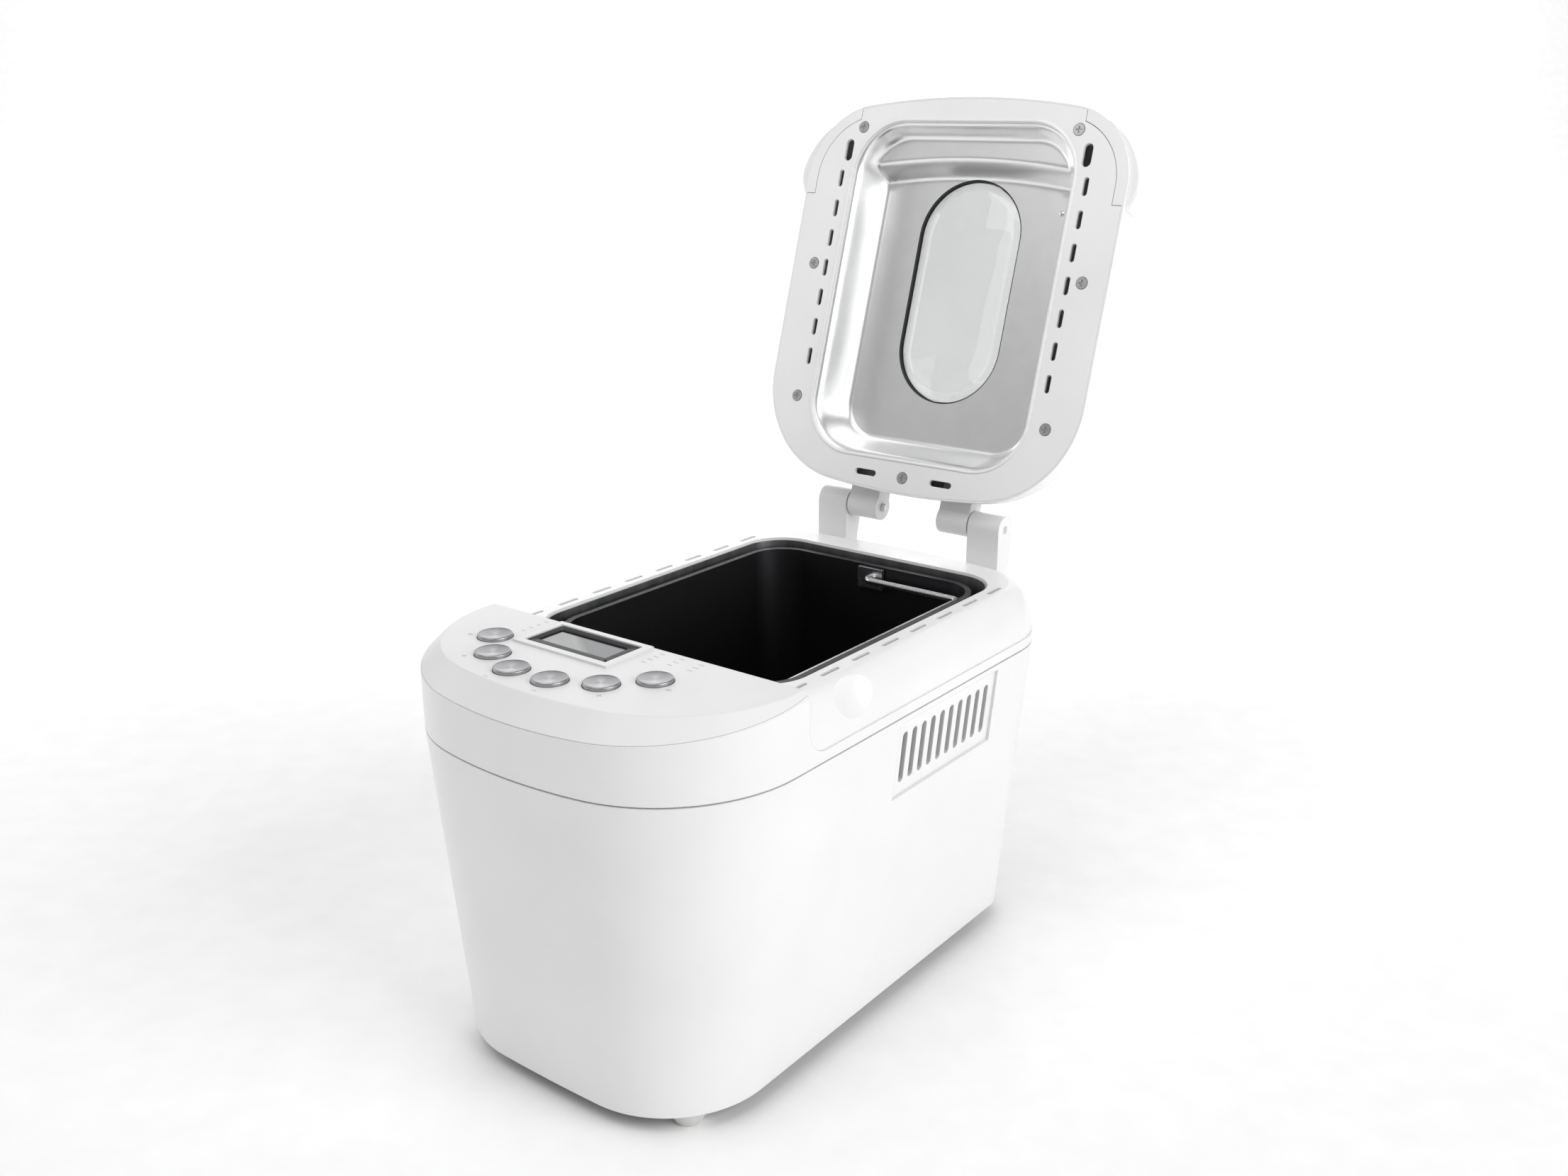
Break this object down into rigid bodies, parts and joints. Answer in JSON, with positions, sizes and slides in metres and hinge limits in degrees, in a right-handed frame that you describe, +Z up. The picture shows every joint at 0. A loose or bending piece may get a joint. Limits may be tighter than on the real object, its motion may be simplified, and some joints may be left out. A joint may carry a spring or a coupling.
{
  "type": "bread machine",
  "caption": "Upright bread machine with a rounded casing, a sloping front edge under a flat control panel, a lift-out loaf pan and a hinged windowed lid standing open.",
  "frame": {"origin": "under the middle of the whole machine as it stands with its lid open, on the surface that its feet rest on", "axes": "+Z up, -Y towards the control panel, +Y towards the hinge, +X to the right seen from the panel"},
  "size_m": [0.244, 0.4422, 0.4979],
  "materials": {
    "white_shell": "satin gloss moulded plastic",
    "panel_grey": "fine satin grey plastic",
    "hinge_grey": "satin",
    "button_metal": "turned and brushed",
    "display": "glossy display window",
    "dark_plastic": "matte",
    "rubber": "matte",
    "pale_rubber": "matte",
    "board_green": "circuit board",
    "oven_metal": "aluminised sheet",
    "steel": "plain steel",
    "brass": "sintered bronze",
    "pulley_plastic": "glass-filled plastic",
    "lid_aluminium": "bright pressed sheet",
    "lid_glass": "clear",
    "nonstick": "dark non-stick coating",
    "cast_aluminium": "as cast"
  },
  "bodies": {
    "casing": {"lower_body": "white_shell", "upper_housing": "white_shell", "panel_cap": "panel_grey", "deck": "white_shell", "base_plate": "dark_plastic", "side_vent_right": "white_shell", "side_vent_left": "white_shell", "foot_front_left": "pale_rubber", "foot_front_right": "pale_rubber", "foot_rear_left": "pale_rubber", "foot_rear_right": "pale_rubber", "foot_screws": "steel", "mains_inlet": "dark_plastic", "lcd_bezel": "panel_grey", "lcd_window": "display", "lcd_module": "dark_plastic", "control_board": "board_green", "oven_chamber": "oven_metal", "heating_element": "steel", "temperature_sensor": "steel", "pan_seat": "oven_metal", "pan_clips": "steel", "chassis": "steel", "bearing_housing": "steel", "bearing_bush": "brass", "drive_belt": "rubber", "motor": "steel", "power_board": "board_green", "hinge_block_left": "white_shell", "hinge_block_right": "white_shell", "hinge_pin_left": "steel", "hinge_pin_right": "steel"},
    "lid": {"lid_shell": "white_shell", "lid_frame": "white_shell", "lid_screws": "steel", "lid_liner": "lid_aluminium", "window_seal": "rubber", "inner_window": "lid_glass", "outer_window": "lid_glass", "lid_grip_right": "white_shell", "lid_grip_left": "white_shell", "lid_arm_left": "hinge_grey", "lid_arm_right": "hinge_grey"},
    "pan": {"bread_pan": "nonstick", "pan_foot": "cast_aluminium", "handle_ears": "steel"},
    "handle": {"pan_handle": "steel"},
    "paddle": {"pan_spindle": "steel", "kneading_paddle": "nonstick"},
    "drive": {"drive_shaft": "steel", "drive_dog": "steel", "driven_pulley": "pulley_plastic"},
    "motor_rotor": {"motor_shaft": "steel", "motor_pulley": "pulley_plastic"},
    "button_1": {"button_1": "button_metal"},
    "button_2": {"button_2": "button_metal"},
    "button_3": {"button_3": "button_metal"},
    "button_4": {"button_4": "button_metal"},
    "button_5": {"button_5": "button_metal"},
    "button_6": {"button_6": "button_metal"}
  },
  "joints": [
    {"name": "lid_hinge", "type": "hinge", "parent": "casing", "child": "lid", "pos_m": [0, 0.1359, 0.2428], "axis": [-1, 0, 0], "range_deg": [-107, 0]},
    {"name": "pan_lift", "type": "slide", "parent": "casing", "child": "pan", "axis": [0, 0, 1], "range_m": [0, 0.16]},
    {"name": "handle_swing", "type": "hinge", "parent": "pan", "child": "handle", "pos_m": [0, -0.0101, 0.211], "axis": [0, -1, 0], "range_deg": [0, 180]},
    {"name": "drive_spin", "type": "hinge", "parent": "casing", "child": "drive", "pos_m": [0, -0.0101, 0.03], "axis": [0, 0, 1], "continuous": true},
    {"name": "paddle_spin", "type": "hinge", "parent": "pan", "child": "paddle", "pos_m": [0, -0.0101, 0.1], "axis": [0, 0, 1], "continuous": true},
    {"name": "motor_spin", "type": "hinge", "parent": "casing", "child": "motor_rotor", "pos_m": [0, -0.1631, 0.03], "axis": [0, 0, 1], "continuous": true},
    {"name": "button_1_press", "type": "slide", "parent": "casing", "child": "button_1", "axis": [0, 0, -1], "range_m": [0, 0.0012], "stiffness_N_per_m": 700, "springref_m": -0.0008},
    {"name": "button_2_press", "type": "slide", "parent": "casing", "child": "button_2", "axis": [0, 0, -1], "range_m": [0, 0.0012], "stiffness_N_per_m": 700, "springref_m": -0.0008},
    {"name": "button_3_press", "type": "slide", "parent": "casing", "child": "button_3", "axis": [0, 0, -1], "range_m": [0, 0.0012], "stiffness_N_per_m": 700, "springref_m": -0.0008},
    {"name": "button_4_press", "type": "slide", "parent": "casing", "child": "button_4", "axis": [0, 0, -1], "range_m": [0, 0.0012], "stiffness_N_per_m": 700, "springref_m": -0.0008},
    {"name": "button_5_press", "type": "slide", "parent": "casing", "child": "button_5", "axis": [0, 0, -1], "range_m": [0, 0.0012], "stiffness_N_per_m": 700, "springref_m": -0.0008},
    {"name": "button_6_press", "type": "slide", "parent": "casing", "child": "button_6", "axis": [0, 0, -1], "range_m": [0, 0.0012], "stiffness_N_per_m": 700, "springref_m": -0.0008}
  ],
  "couplings": [
    {"joint": "motor_spin", "follows": "drive_spin", "ratio": 5.2157},
    {"joint": "paddle_spin", "follows": "drive_spin", "ratio": 1}
  ]
}
